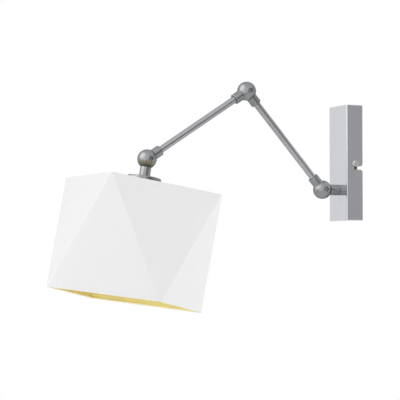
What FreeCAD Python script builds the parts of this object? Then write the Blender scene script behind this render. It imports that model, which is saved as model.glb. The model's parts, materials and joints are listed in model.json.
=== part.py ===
import FreeCAD
import Part

import math
import os

import Sketcher
from FreeCAD import Placement, Rotation, Vector

# An articulating wall lamp: a flat upright wall box, two tube arms joined by three half-ball knuckles,
# and a folded eight-facet shade. Frame: origin on the wall, at the centre of the wall box's back.
# +Z is up, the wall is the plane Y = 0, the lamp reaches out towards -Y, every hinge turns about X.

# Driving dimensions, in millimetres and degrees
SIZES = {
    # Wall box: a folded sheet cover
    "box_height": 200.0,
    "box_width": 60.0,
    "box_depth": 31.0,
    "cover_sheet": 1.0,
    "cover_edge_radius": 1.5,
    # Hooked slots in the cover's sides, and the two screws that they hang on
    "cover_screw_drop": 1.7,
    "cover_screw_from_wall": 14.2,
    "cover_screw_radius": 2.45,
    "cover_screw_length": 10.0,
    "cover_screw_head_radius": 5.0,
    "cover_screw_head_height": 3.0,
    "cover_screw_head_edge": 1.2,
    "driver_slot_width": 1.2,
    "driver_slot_depth": 1.2,
    "slot_width": 6.0,
    "slot_entry_drop": 7.4,
    "slot_mouth_radius": 5.0,
    "slot_corner_radius": 1.5,
    # Wall bracket: a strip with two arms that end in forward lugs
    "bracket_sheet": 1.5,
    "bracket_width": 26.0,
    "bracket_height": 130.0,
    "bracket_corner_radius": 3.0,
    "bracket_arm_height": 8.0,
    "lug_reach": 19.0,
    "lug_gap": 0.3,
    "lug_bend_radius": 2.0,
    "wall_screw_spacing": 100.0,
    "wall_slot_radius": 2.4,
    "wall_slot_length": 10.0,
    "cable_entry_radius": 6.0,
    "cable_entry_drop": 22.0,
    "grommet_bore_radius": 4.2,
    "grommet_lip": 1.6,
    "grommet_lip_height": 1.2,
    # Terminal block and earth screw on the bracket
    "terminal_width": 26.0,
    "terminal_height": 17.0,
    "terminal_depth": 13.0,
    "terminal_rise": 30.0,
    "terminal_pitch": 8.2,
    "terminal_step": 3.0,
    "terminal_margin": 1.0,
    "terminal_post_gap": 1.0,
    "terminal_peg_radius": 2.0,
    "terminal_wire_hole": 1.2,
    "terminal_screw_radius": 1.5,
    "terminal_screw_length": 4.0,
    "terminal_screw_spacing": 9.0,
    "terminal_screw_sink": 1.0,
    "earth_screw_radius": 2.0,
    "earth_screw_head_radius": 3.6,
    "earth_screw_head_height": 2.4,
    "earth_screw_drop": 42.0,
    "earth_tag_radius": 3.4,
    "earth_tag_sheet": 0.8,
    "earth_tag_width": 2.2,
    "earth_tag_length": 9.0,
    "earth_tag_angle": 50.0,
    # Knuckle joints: two half balls that turn face to face on a hinge screw
    "ball_radius": 16.0,
    "knuckle_wall": 3.0,
    "parting_gap": 0.3,
    "stem_radius": 9.0,
    "stem_gap": 0.3,
    "stem_edge": 0.6,
    "boss_radius": 5.5,
    "boss_setback": 0.35,
    "hinge_screw_radius": 2.0,
    "hinge_screw_tail": 0.8,
    "hinge_clearance": 0.05,
    "hinge_head_radius": 3.5,
    "hinge_head_height": 4.0,
    "hinge_head_sink": 1.5,
    "hinge_head_edge": 0.6,
    "hinge_key_across": 3.0,
    "hinge_key_depth": 2.2,
    "recess_clearance": 0.3,
    "spring_washer_radius": 3.4,
    "spring_washer_sheet": 0.9,
    "nut_across": 7.0,
    "nut_height": 3.2,
    "nut_sink": 2.9,
    "nut_clearance": 0.1,
    "washer_clearance": 0.05,
    # Arms: the tubes and the sleeves that hold their ends
    "neck_drop": 46.5,
    "neck_reach": 32.0,
    "lower_arm_length": 220.0,
    "upper_arm_length": 220.0,
    "lower_arm_angle": 48.0,
    "upper_arm_angle": 33.2,
    "sleeve_length": 28.0,
    "tube_radius": 5.8,
    "tube_wall": 1.0,
    "tube_socket": 11.0,
    "tube_clearance": 0.05,
    # Two-core lead that runs inside the arms, and its way through the knuckles
    "lead_radius": 1.9,
    "lead_bore": 4.8,
    "port_radius": 3.2,
    "port_offset": 2.8,
    "port_overlap": 2.0,
    "lead_turn_rise": 0.6,
    "lead_bend": 7.0,
    "lead_from_wall": 13.0,
    "lead_rise": 14.0,
    "core_radius": 0.9,
    "core_spread": 1.0,
    "core_bend": 3.0,
    "core_entry": 3.0,
    # Hollow threaded nipples and their nuts
    "nipple_radius": 5.0,
    "nipple_bore": 3.8,
    "nipple_grip": 8.0,
    "nipple_tail": 7.0,
    "thread_clearance": 0.05,
    "nipple_nut_across": 14.0,
    "nipple_nut_height": 3.0,
    "lock_washer_radius": 8.5,
    "lock_washer_sheet": 0.8,
    "lock_washer_tooth_count": 8.0,
    "lock_washer_notch": 1.1,
    # Lamp head: neck, cap and lampholder, measured along the head's own axis
    "head_tilt_angle": 9.4,
    "head_neck_length": 30.0,
    "cap_radius": 28.0,
    "cap_height": 4.5,
    "cap_sheet": 1.2,
    "cap_edge_radius": 1.5,
    "holder_radius": 20.5,
    "holder_wall": 1.6,
    "holder_dome_height": 25.0,
    "holder_collar_radius": 8.0,
    "holder_collar_height": 5.0,
    "holder_flange_radius": 25.0,
    "holder_flange_height": 2.5,
    "holder_skirt_radius": 19.2,
    "holder_skirt_length": 38.0,
    "holder_gap": 0.3,
    "base_height": 9.0,
    "base_clearance": 0.1,
    "shell_radius": 13.3,
    "shell_sheet": 0.5,
    "shell_cup_radius": 11.3,
    "shell_cup_height": 3.0,
    "shell_cone_height": 3.0,
    "shell_thread_length": 18.0,
    "contact_width": 5.0,
    "contact_sheet": 0.6,
    "contact_rise": 2.8,
    "shade_ring_radius": 27.0,
    "shade_ring_height": 7.0,
    "shade_ring_rib_count": 18.0,
    "shade_ring_rib_radius": 1.3,
    # Folded shade and its wire frames
    "shade_drop": 45.0,
    "shade_height": 188.0,
    "shade_side": 196.0,
    "shade_sheet": 0.6,
    "lining_sheet": 0.3,
    "corner_blunt": 1.0,
    "binding_height": 3.0,
    "frame_wire_radius": 1.5,
    "frame_seat": 0.75,
    "spider_radius": 31.0,
    "spider_sheet": 1.5,
    "spoke_radius": 1.25,
    "spoke_count": 4.0,
}

# Each surface that cuts an opening starts this far outside the solid
CUT_MARGIN = 1.0


class Size:
    """A length or an angle: its present number, and the expression that a model object is bound to."""

    def __init__(self, value, text):
        self.value = value
        self.text = text

    def joined(self, other, sign, value):
        return Size(value, f"({self.text} {sign} {other.text})")

    def __add__(self, other):
        other = as_size(other)
        return self.joined(other, "+", self.value + other.value)

    def __sub__(self, other):
        other = as_size(other)
        return self.joined(other, "-", self.value - other.value)

    def __mul__(self, other):
        other = as_size(other)
        return self.joined(other, "*", self.value * other.value)

    def __truediv__(self, other):
        other = as_size(other)
        return self.joined(other, "/", self.value / other.value)

    def __neg__(self):
        return as_size(-1.0) * self


def as_size(number):
    """A Size, made from a plain number where it isn't one yet."""
    if isinstance(number, Size):
        return number
    return Size(float(number), f"({float(number)})")


def root_of_squares(long_side, short_side):
    """The third side of a right triangle, from its longest side and one other."""
    value = math.sqrt(long_side.value ** 2 - short_side.value ** 2)
    return Size(value, f"sqrt({long_side.text} ^ 2 - {short_side.text} ^ 2)")


def hypotenuse(first, second):
    """The longest side of a right triangle, from the two others."""
    value = math.hypot(first.value, second.value)
    return Size(value, f"sqrt({first.text} ^ 2 + {second.text} ^ 2)")


def write_sheet(doc):
    """Put every driving dimension into the spreadsheet, under its own alias."""
    sheet = doc.addObject("Spreadsheet::Sheet", "Sizes")
    for row, (name, number) in enumerate(SIZES.items(), start=1):
        sheet.set(f"A{row}", name)
        sheet.set(f"B{row}", str(number))
        sheet.setAlias(f"B{row}", name)
    doc.recompute()
    return sheet


doc = FreeCAD.newDocument("ArticulatingWallLamp")
sheet = write_sheet(doc)
s = type("Sizes", (), {name: Size(getattr(sheet, name), f"Sizes.{name}") for name in SIZES})
ZERO = as_size(0.0)


# Places that several pieces share
COVER_SCREW_Z = -s.cover_screw_drop
LUG_FACE_X = s.box_width / 2 - s.cover_sheet - s.lug_gap
HINGE_HEAD_BASE = s.ball_radius - s.hinge_head_sink - s.hinge_head_height
RECESS_FLOOR = HINGE_HEAD_BASE - s.spring_washer_sheet
NUT_FLOOR = s.ball_radius - s.nut_sink - s.nut_height
BOSS_FACE = s.parting_gap / 2 + s.boss_setback
STEM_CUT_RADIUS = s.ball_radius + s.stem_gap
CAVITY_RADIUS = s.ball_radius - s.knuckle_wall
PORT_FLOOR = CAVITY_RADIUS - s.port_overlap
LEAD_TURN = CAVITY_RADIUS + s.lead_turn_rise
CAP_UNDERSIDE = s.head_neck_length + s.cap_sheet
HOLDER_RIM = CAP_UNDERSIDE + s.holder_dome_height
FLANGE_TOP = HOLDER_RIM + s.holder_gap
FLANGE_UNDERSIDE = FLANGE_TOP + s.holder_flange_height
SPIDER_UNDERSIDE = FLANGE_UNDERSIDE + s.spider_sheet
SKIRT_END = FLANGE_UNDERSIDE + s.holder_skirt_length
SHADE_TOP = s.shade_drop
SHADE_BOTTOM = s.shade_drop + s.shade_height


def outward(elevation):
    """Unit vector away from the wall, raised by an angle in degrees."""
    angle = math.radians(elevation)
    return Vector(0, -math.cos(angle), math.sin(angle))


def along(origin, elevation):
    """Placement at a point with its local Z along an outward direction and its local X kept."""
    return Placement(origin, Rotation(Vector(1, 0, 0), 90.0 - elevation))


LOWER_RISE = s.lower_arm_angle.value
UPPER_RISE = -s.upper_arm_angle.value
HEAD_RISE = s.head_tilt_angle.value - 90.0
SHOULDER = Vector(0, -(s.box_depth + s.neck_reach).value, -s.neck_drop.value)
ELBOW = SHOULDER + outward(LOWER_RISE) * s.lower_arm_length.value
HEAD = ELBOW + outward(UPPER_RISE) * s.upper_arm_length.value

AT_WALL = Placement()
EARTH_SCREW = along(Vector(0, 0, -s.earth_screw_drop.value), 0.0)
CABLE_ENTRY = along(Vector(0, 0, -s.cable_entry_drop.value), 0.0)
NECK_STEM = along(SHOULDER, 180.0)
LOWER_ARM = along(SHOULDER, LOWER_RISE)
LOWER_ARM_END = along(ELBOW, LOWER_RISE + 180.0)
UPPER_ARM = along(ELBOW, UPPER_RISE)
UPPER_ARM_END = along(HEAD, UPPER_RISE + 180.0)
LAMP_HEAD = along(HEAD, HEAD_RISE)

nodes = []


def bind(feature, prop, length):
    """Tie a property of a model object to the sheet."""
    feature.setExpression(prop, as_size(length).text)


def keep(feature, label):
    """Name a finished sub-part and list it for export."""
    feature.Label = label
    nodes.append(feature)
    return feature


def new_body(label, placement):
    """A sub-part's own body, in its own frame."""
    body = doc.addObject("PartDesign::Body", label)
    body.Placement = placement
    return keep(body, label)


def new_sketch(body, plane, offset=None):
    """A sketch on one of the body's own origin planes, moved along that plane's normal."""
    sketch = body.newObject("Sketcher::SketchObject", "Outline")
    face = next(item for item in body.Origin.OriginFeatures if item.Role == plane)
    sketch.AttachmentSupport = [(face, "")]
    sketch.MapMode = "FlatFace"
    if offset is not None:
        bind(sketch, "AttachmentOffset.Base.z", offset)
    return sketch


def fix(sketch, kind, args, length):
    """Add a dimension to a sketch and bind it to the sheet."""
    length = as_size(length)
    index = sketch.addConstraint(Sketcher.Constraint(kind, *args, length.value))
    sketch.setExpression(f"Constraints[{index}]", length.text)


def fix_point(sketch, geometry, point, place):
    """Place a point by its two distances from the sketch's origin."""
    for kind, axis, length in (("DistanceX", -2, place[0]), ("DistanceY", -1, place[1])):
        if length is None:
            continue
        length = as_size(length)
        if length.value == 0.0:
            sketch.addConstraint(Sketcher.Constraint("PointOnObject", geometry, point, axis))
        else:
            fix(sketch, kind, (-1, 1, geometry, point), length)


def circle(sketch, radius, place=(ZERO, ZERO)):
    """A circle of a bound radius at a bound place."""
    place = (as_size(place[0]), as_size(place[1]))
    centre = Vector(place[0].value, place[1].value, 0)
    index = sketch.addGeometry(Part.Circle(centre, Vector(0, 0, 1), as_size(radius).value))
    fix(sketch, "Radius", (index,), radius)
    if place[0].value == 0.0 and place[1].value == 0.0:
        sketch.addConstraint(Sketcher.Constraint("Coincident", index, 3, -1, 1))
    else:
        fix_point(sketch, index, 3, place)


def outline(sketch, corners, arcs=None):
    """A closed outline through its corners, with some sides as arcs about the sketch's origin.

    A corner is a pair of sizes. arcs gives, for the number of a corner, the radius of the arc that
    starts there. Both ends of an arc lie on it, so its start is dimensioned by its second size only
    and its end by its first size only.
    """
    arcs = arcs or {}
    corners = [(as_size(x), as_size(y)) for x, y in corners]
    count = len(corners)
    first = sketch.GeometryCount
    for number, (x, y) in enumerate(corners):
        end_x, end_y = corners[(number + 1) % count]
        start = Vector(x.value, y.value, 0)
        end = Vector(end_x.value, end_y.value, 0)
        if number in arcs:
            middle = (start + end).normalize() * arcs[number].value
            sketch.addGeometry(Part.Arc(start, middle, end))
        else:
            sketch.addGeometry(Part.LineSegment(start, end))
    heads = {}
    for number in range(count):
        edge = first + number
        heads[number] = (edge, 1)
        if number in arcs:
            sketch.addConstraint(Sketcher.Constraint("Coincident", edge, 3, -1, 1))
            fix(sketch, "Radius", (edge,), arcs[number])
            if turns_back(corners[number], corners[(number + 1) % count]):
                heads[number] = (edge, 2)
    for number in range(count):
        before = (number - 1) % count
        edge, point = heads[before]
        tail = (edge, 3 - point)
        sketch.addConstraint(Sketcher.Constraint("Coincident", *tail, *heads[number]))
        across = None if number in arcs else corners[number][0]
        upward = None if before in arcs else corners[number][1]
        fix_point(sketch, *heads[number], (across, upward))


def turns_back(start, end):
    """Whether an arc about the origin from start to end runs clockwise, so that it is stored reversed."""
    return start[0].value * end[1].value - start[1].value * end[0].value < 0


def box_outline(sketch, low, high):
    """An upright rectangle from its low corner to its high corner."""
    outline(sketch, [low, (high[0], low[1]), high, (low[0], high[1])])


def hexagon(sketch, across, turn=0.0):
    """A hexagon about the origin, given across its flats."""
    corners = []
    for step in range(6):
        angle = math.radians(60.0 * step + turn)
        radius = as_size(across) / math.sqrt(3.0)
        corners.append((radius * round(math.cos(angle), 9), radius * round(math.sin(angle), 9)))
    outline(sketch, corners)


def step(body, kind, sketch, length=None, **settings):
    """Add one sketch-based feature to a body, and check that it changed the solid."""
    before = body.Shape.Volume if body.Tip else 0.0
    feature = body.newObject(f"PartDesign::{kind}", kind)
    feature.Profile = sketch
    if length is not None:
        bind(feature, "Length", length)
    for name, setting in settings.items():
        setattr(feature, name, setting)
    doc.recompute()
    change = body.Shape.Volume - before
    removes = kind in ("Pocket", "Groove")
    if abs(change) < 1e-3 or (change > 0) == removes:
        raise RuntimeError(f"{body.Label}: {feature.Name} left the volume at {body.Shape.Volume:.1f}")
    return feature


def pad(body, sketch, length, **settings):
    return step(body, "Pad", sketch, length, **settings)


def pocket(body, sketch, length=None, **settings):
    """Cut a sketch into a body, to a depth or right through it both ways."""
    if length is None:
        settings["Type"] = "ThroughAll"
        settings["Midplane"] = True
    return step(body, "Pocket", sketch, length, **settings)


def revolve(body, sketch, axis="V_Axis"):
    return step(body, "Revolution", sketch, ReferenceAxis=(sketch, [axis]), Angle=360.0)


def groove(body, sketch, axis="V_Axis"):
    return step(body, "Groove", sketch, ReferenceAxis=(sketch, [axis]), Angle=360.0)


def edges_where(body, wanted):
    """Names of the edges of a body whose own middle passes a test, in the body's own frame."""
    shape = body.Tip.Shape
    names = []
    for number, edge in enumerate(shape.Edges, start=1):
        middle = edge.valueAt((edge.FirstParameter + edge.LastParameter) / 2)
        if wanted(edge, middle):
            names.append(f"Edge{number}")
    return names


def dress(body, kind, prop, length, wanted):
    """Round or bevel the edges that pass a test."""
    names = edges_where(body, wanted)
    if not names:
        raise RuntimeError(f"{body.Label}: no edge to {kind.lower()}")
    base = body.Tip
    feature = body.newObject(f"PartDesign::{kind}", kind)
    feature.Base = (base, names)
    bind(feature, prop, length)
    doc.recompute()
    return feature


def fillet(body, radius, wanted):
    return dress(body, "Fillet", "Radius", radius, wanted)


def chamfer(body, size, wanted):
    return dress(body, "Chamfer", "Size", size, wanted)


def polar(body, feature, axis, count):
    """Repeat a body's last feature round an axis of a sketch."""
    pattern = body.newObject("PartDesign::PolarPattern", "Repeats")
    pattern.Originals = [feature]
    pattern.Axis = axis
    pattern.Angle = 360.0
    bind(pattern, "Occurrences", count)
    body.Tip = pattern
    doc.recompute()


def near(number, size, reach=1e-3):
    return abs(number - as_size(size).value) < reach


def ring(label, placement, outer, inner, low, high):
    """A plain round washer, bush or tube between two heights on its own axis."""
    body = new_body(label, placement)
    sketch = new_sketch(body, "XY_Plane", low)
    circle(sketch, outer)
    circle(sketch, inner)
    pad(body, sketch, as_size(high) - low)
    return body


def turned(label, placement, corners):
    """A turned piece about its own Z: each corner is a radius and a height."""
    body = new_body(label, placement)
    sketch = new_sketch(body, "XZ_Plane")
    outline(sketch, corners)
    revolve(body, sketch)
    return body


# Wall box


def make_cover():
    """Folded sheet cover, open at the back, with a hooked slot in each side and a hole for the neck."""
    body = new_body("wall_cover", AT_WALL)
    half_width = s.box_width / 2
    half_height = s.box_height / 2
    sketch = new_sketch(body, "XZ_Plane")
    box_outline(sketch, (-half_width, -half_height), (half_width, half_height))
    pad(body, sketch, s.box_depth)
    fillet(body, s.cover_edge_radius, lambda edge, middle: middle.y < -CUT_MARGIN)
    inner_width = half_width - s.cover_sheet
    inner_height = half_height - s.cover_sheet
    sketch = new_sketch(body, "XZ_Plane")
    box_outline(sketch, (-inner_width, -inner_height), (inner_width, inner_height))
    pocket(body, sketch, s.box_depth - s.cover_sheet, Reversed=True)

    slot_half = s.slot_width / 2
    entry_z = COVER_SCREW_Z - s.slot_entry_drop
    hook_y = -s.cover_screw_from_wall
    sketch = new_sketch(body, "YZ_Plane")
    corners = [
        (CUT_MARGIN, entry_z - slot_half),
        (CUT_MARGIN, entry_z + slot_half),
        (hook_y + slot_half, entry_z + slot_half),
        (hook_y + slot_half, COVER_SCREW_Z),
        (hook_y - slot_half, COVER_SCREW_Z),
        (hook_y - slot_half, entry_z - slot_half),
    ]
    outline(sketch, corners)
    pocket(body, sketch)
    sketch = new_sketch(body, "YZ_Plane")
    circle(sketch, slot_half, (hook_y, COVER_SCREW_Z))
    pocket(body, sketch)

    def crosses_wall(edge, middle):
        inner = (half_width - s.cover_sheet).value
        return inner < abs(middle.x) < half_width.value and edge.BoundBox.XLength > s.cover_sheet.value / 2

    def at_mouth(edge, middle):
        return crosses_wall(edge, middle) and near(middle.y, 0) and abs(middle.z) < half_height.value / 2

    def at_corner(edge, middle):
        return crosses_wall(edge, middle) and near(middle.z, entry_z - slot_half) and middle.y < hook_y.value

    fillet(body, s.slot_mouth_radius, at_mouth)
    fillet(body, s.slot_corner_radius, at_corner)
    sketch = new_sketch(body, "XZ_Plane")
    circle(sketch, s.nipple_radius + s.stem_gap, (ZERO, -s.neck_drop))
    pocket(body, sketch)


def make_bracket():
    """Steel strip that is screwed to the wall, with two arms bent forward as tapped lugs."""
    body = new_body("wall_bracket", AT_WALL)
    strip_x = s.bracket_width / 2
    strip_z = s.bracket_height / 2
    arm_low = COVER_SCREW_Z - s.bracket_arm_height / 2
    arm_high = COVER_SCREW_Z + s.bracket_arm_height / 2
    sketch = new_sketch(body, "XZ_Plane")
    corners = [
        (-strip_x, -strip_z),
        (strip_x, -strip_z),
        (strip_x, arm_low),
        (LUG_FACE_X, arm_low),
        (LUG_FACE_X, arm_high),
        (strip_x, arm_high),
        (strip_x, strip_z),
        (-strip_x, strip_z),
        (-strip_x, arm_high),
        (-LUG_FACE_X, arm_high),
        (-LUG_FACE_X, arm_low),
        (-strip_x, arm_low),
    ]
    outline(sketch, corners)
    pad(body, sketch, s.bracket_sheet)
    lug_inner = LUG_FACE_X - s.bracket_sheet
    sketch = new_sketch(body, "XZ_Plane")
    box_outline(sketch, (lug_inner, arm_low), (LUG_FACE_X, arm_high))
    box_outline(sketch, (-LUG_FACE_X, arm_low), (-lug_inner, arm_high))
    pad(body, sketch, s.lug_reach)
    fillet(body, s.lug_bend_radius, lambda edge, middle: near(abs(middle.x), LUG_FACE_X)
           and near(middle.y, 0))
    inner_bend = s.lug_bend_radius - s.bracket_sheet
    fillet(body, inner_bend, lambda edge, middle: near(abs(middle.x), lug_inner)
           and near(middle.y, -s.bracket_sheet))

    def at_strip_end(edge, middle):
        return near(abs(middle.x), strip_x) and near(abs(middle.z), strip_z)

    def at_lug_end(edge, middle):
        return near(middle.y, -s.lug_reach) and edge.BoundBox.ZLength < CUT_MARGIN

    fillet(body, s.bracket_corner_radius, at_strip_end)
    fillet(body, s.bracket_corner_radius, at_lug_end)

    sketch = new_sketch(body, "YZ_Plane")
    thread = s.cover_screw_radius + s.thread_clearance
    circle(sketch, thread, (-s.cover_screw_from_wall, COVER_SCREW_Z))
    pocket(body, sketch)
    sketch = new_sketch(body, "XZ_Plane")
    circle(sketch, s.cable_entry_radius, (ZERO, -s.cable_entry_drop))
    circle(sketch, s.earth_screw_radius + s.thread_clearance, (ZERO, -s.earth_screw_drop))
    circle(sketch, s.terminal_peg_radius + s.thread_clearance, (ZERO, s.terminal_rise))
    pocket(body, sketch)
    for side in (-1, 1):
        cut_wall_slot(body, side)


def cut_wall_slot(body, side):
    """One upright slot for a wall screw: a straight middle with a round end above and below."""
    centre_z = s.wall_screw_spacing / 2 * side
    straight = s.wall_slot_length / 2 - s.wall_slot_radius
    sketch = new_sketch(body, "XZ_Plane")
    low = (-s.wall_slot_radius, centre_z - straight)
    high = (s.wall_slot_radius, centre_z + straight)
    box_outline(sketch, low, high)
    pocket(body, sketch)
    for end in (low[1], high[1]):
        sketch = new_sketch(body, "XZ_Plane")
        circle(sketch, s.wall_slot_radius, (ZERO, end))
        pocket(body, sketch)


def make_grommet():
    """Rubber grommet in the bracket's cable entry, with its lip on the room side only."""
    lip_radius = s.cable_entry_radius + s.grommet_lip
    sheet_face = s.bracket_sheet
    turned("cable_grommet", CABLE_ENTRY, [
        (s.grommet_bore_radius, ZERO),
        (s.cable_entry_radius - s.thread_clearance, ZERO),
        (s.cable_entry_radius - s.thread_clearance, sheet_face),
        (lip_radius, sheet_face),
        (lip_radius, sheet_face + s.grommet_lip_height),
        (s.grommet_bore_radius, sheet_face + s.grommet_lip_height),
    ])


def make_cover_screws():
    """Two round-headed screws with a driver slot, which clamp the cover's sides to the lugs."""
    body = new_body("cover_screws", AT_WALL)
    face_x = s.box_width / 2
    place = (-s.cover_screw_from_wall, COVER_SCREW_Z)
    for side in (1, -1):
        sketch = new_sketch(body, "YZ_Plane", face_x * side)
        circle(sketch, s.cover_screw_head_radius, place)
        pad(body, sketch, s.cover_screw_head_height, Reversed=side < 0)
        sketch = new_sketch(body, "YZ_Plane", face_x * side)
        circle(sketch, s.cover_screw_radius, place)
        pad(body, sketch, s.cover_screw_length, Reversed=side > 0)
    head_face = face_x + s.cover_screw_head_height
    fillet(body, s.cover_screw_head_edge, lambda edge, middle: near(abs(middle.x), head_face))
    slot_half = s.driver_slot_width / 2
    reach = s.cover_screw_head_radius + CUT_MARGIN
    sketch = new_sketch(body, "XZ_Plane", s.cover_screw_from_wall - reach)
    for side in (1, -1):
        low = head_face * side
        deep = (head_face - s.driver_slot_depth) * side
        ends = (low, deep) if side < 0 else (deep, low)
        box_outline(sketch, (ends[0], COVER_SCREW_Z - slot_half), (ends[1], COVER_SCREW_Z + slot_half))
    pocket(body, sketch, reach * 2, Reversed=True)


def terminal_columns():
    """X places of the three poles of the terminal block."""
    return [s.terminal_pitch * pole for pole in (-1, 0, 1)]


def terminal_wire_depth():
    """Distance of the terminal block's wire holes from the wall."""
    return s.bracket_sheet + (s.terminal_depth - s.terminal_step) / 2


def terminal_front():
    """Distance of the terminal block's stepped front from the wall."""
    return s.bracket_sheet + s.terminal_depth


def make_terminal_block():
    """Three-pole terminal block: a stepped moulding with wire holes through it and screw wells."""
    body = new_body("terminal_block", AT_WALL)
    half_x = s.terminal_width / 2
    half_z = s.terminal_height / 2
    sketch = new_sketch(body, "XZ_Plane", s.bracket_sheet)
    box_outline(sketch, (-half_x, s.terminal_rise - half_z), (half_x, s.terminal_rise + half_z))
    pad(body, sketch, s.terminal_depth - s.terminal_step)
    sketch = new_sketch(body, "XZ_Plane", s.bracket_sheet)
    for column in terminal_columns():
        post = (s.terminal_pitch - s.terminal_post_gap) / 2
        box_outline(sketch, (column - post, s.terminal_rise - half_z + s.terminal_margin),
                    (column + post, s.terminal_rise + half_z - s.terminal_margin))
    pad(body, sketch, s.terminal_depth)
    sketch = new_sketch(body, "XZ_Plane")
    circle(sketch, s.terminal_peg_radius, (ZERO, s.terminal_rise))
    pad(body, sketch, terminal_wire_depth() - s.terminal_wire_hole * 2)
    sketch = new_sketch(body, "XY_Plane", s.terminal_rise)
    for column in terminal_columns():
        circle(sketch, s.terminal_wire_hole, (column, -terminal_wire_depth()))
    pocket(body, sketch)
    sketch = new_sketch(body, "XZ_Plane", terminal_front())
    for column in terminal_columns():
        for row in (-1, 1):
            height = s.terminal_rise + s.terminal_screw_spacing / 2 * row
            circle(sketch, s.terminal_screw_radius + s.thread_clearance, (column, height))
    pocket(body, sketch, s.terminal_screw_length + s.terminal_screw_sink)


def make_terminal_screws():
    """Six brass clamping screws, sunk in their wells."""
    body = new_body("terminal_screws", AT_WALL)
    head = terminal_front() - s.terminal_screw_sink
    sketch = new_sketch(body, "XZ_Plane", head - s.terminal_screw_length)
    for column in terminal_columns():
        for row in (-1, 1):
            height = s.terminal_rise + s.terminal_screw_spacing / 2 * row
            circle(sketch, s.terminal_screw_radius, (column, height))
    pad(body, sketch, s.terminal_screw_length)


def make_earth_screw():
    """Earth screw in the bracket, with its driver slot."""
    body = new_body("earth_screw", EARTH_SCREW)
    seat = s.bracket_sheet + s.earth_tag_sheet
    sketch = new_sketch(body, "XY_Plane", seat)
    circle(sketch, s.earth_screw_head_radius)
    pad(body, sketch, s.earth_screw_head_height)
    sketch = new_sketch(body, "XY_Plane", seat)
    circle(sketch, s.earth_screw_radius)
    pad(body, sketch, seat, Reversed=True)
    head = seat + s.earth_screw_head_height
    sketch = new_sketch(body, "XY_Plane", head)
    slot_half = s.driver_slot_width / 2
    reach = s.earth_screw_head_radius + CUT_MARGIN
    box_outline(sketch, (-reach, -slot_half), (reach, slot_half))
    pocket(body, sketch, s.driver_slot_depth)


# Knuckle joints, in a frame whose origin is the ball's centre, X is the hinge and Z runs along the stem


def make_knuckle_half(label, placement, side, stem_length, socket_radius, socket_depth):
    """One half of a ball knuckle with its stem.

    side is +1 for the half that shows its screw recess and -1 for the half with the nut pocket.
    The stem is round and centred on the parting plane, so beyond the parting plane it is cut back
    to a sphere just clear of the other half ball.
    """
    body = new_body(label, placement)
    face = s.parting_gap / 2
    sketch = new_sketch(body, "XY_Plane")
    outline(sketch, [
        (face * side, ZERO),
        (s.ball_radius * side, ZERO),
        (face * side, root_of_squares(s.ball_radius, face)),
    ], {1: s.ball_radius})
    revolve(body, sketch, "H_Axis")
    sketch = new_sketch(body, "XY_Plane")
    circle(sketch, s.stem_radius)
    pad(body, sketch, stem_length)
    sketch = new_sketch(body, "XY_Plane")
    outline(sketch, [
        (face * side, ZERO),
        (-STEM_CUT_RADIUS * side, ZERO),
        (face * side, root_of_squares(STEM_CUT_RADIUS, face)),
    ], {1: STEM_CUT_RADIUS})
    groove(body, sketch, "H_Axis")

    sketch = new_sketch(body, "XY_Plane")
    outline(sketch, [
        (ZERO, s.boss_radius),
        (root_of_squares(CAVITY_RADIUS, s.boss_radius) * side, s.boss_radius),
        (ZERO, CAVITY_RADIUS),
    ], {1: CAVITY_RADIUS})
    groove(body, sketch, "H_Axis")
    cut_hinge_bore(body, side)
    cut_lead_way(body, side, stem_length, socket_radius, socket_depth)

    def at_stem_end(edge, middle):
        return near(middle.z, stem_length) and near(math.hypot(middle.x, middle.y), s.stem_radius)

    chamfer(body, s.stem_edge, at_stem_end)
    return body


def cut_hinge_bore(body, side):
    """The hinge screw's bore, with a round recess for its head or a hexagonal pocket for its nut."""
    bore = s.hinge_screw_radius + s.hinge_clearance
    beyond = s.ball_radius + CUT_MARGIN
    corners = [
        (ZERO, ZERO),
        (ZERO, s.boss_radius),
        (BOSS_FACE * side, s.boss_radius),
        (BOSS_FACE * side, bore),
    ]
    if side > 0:
        recess = s.hinge_head_radius + s.recess_clearance
        corners += [(RECESS_FLOOR, bore), (RECESS_FLOOR, recess), (beyond, recess), (beyond, ZERO)]
    else:
        corners += [(-beyond, bore), (-beyond, ZERO)]
    sketch = new_sketch(body, "XY_Plane")
    outline(sketch, corners)
    groove(body, sketch, "H_Axis")
    if side < 0:
        sketch = new_sketch(body, "YZ_Plane", -NUT_FLOOR)
        hexagon(sketch, s.nut_across + s.nut_clearance * 2)
        pocket(body, sketch, s.ball_radius)


def cut_lead_way(body, side, stem_length, socket_radius, socket_depth):
    """The way for the lead: a socket and a bore down the stem, then a port into the half ball."""
    sketch = new_sketch(body, "XY_Plane", stem_length)
    circle(sketch, socket_radius)
    pocket(body, sketch, socket_depth)
    sketch = new_sketch(body, "XY_Plane", stem_length)
    circle(sketch, s.lead_bore)
    pocket(body, sketch, as_size(stem_length) - STEM_CUT_RADIUS)
    sketch = new_sketch(body, "XY_Plane", STEM_CUT_RADIUS + s.stem_gap)
    circle(sketch, s.port_radius, (s.port_offset * side, ZERO))
    pocket(body, sketch, STEM_CUT_RADIUS + s.stem_gap - PORT_FLOOR)


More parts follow.
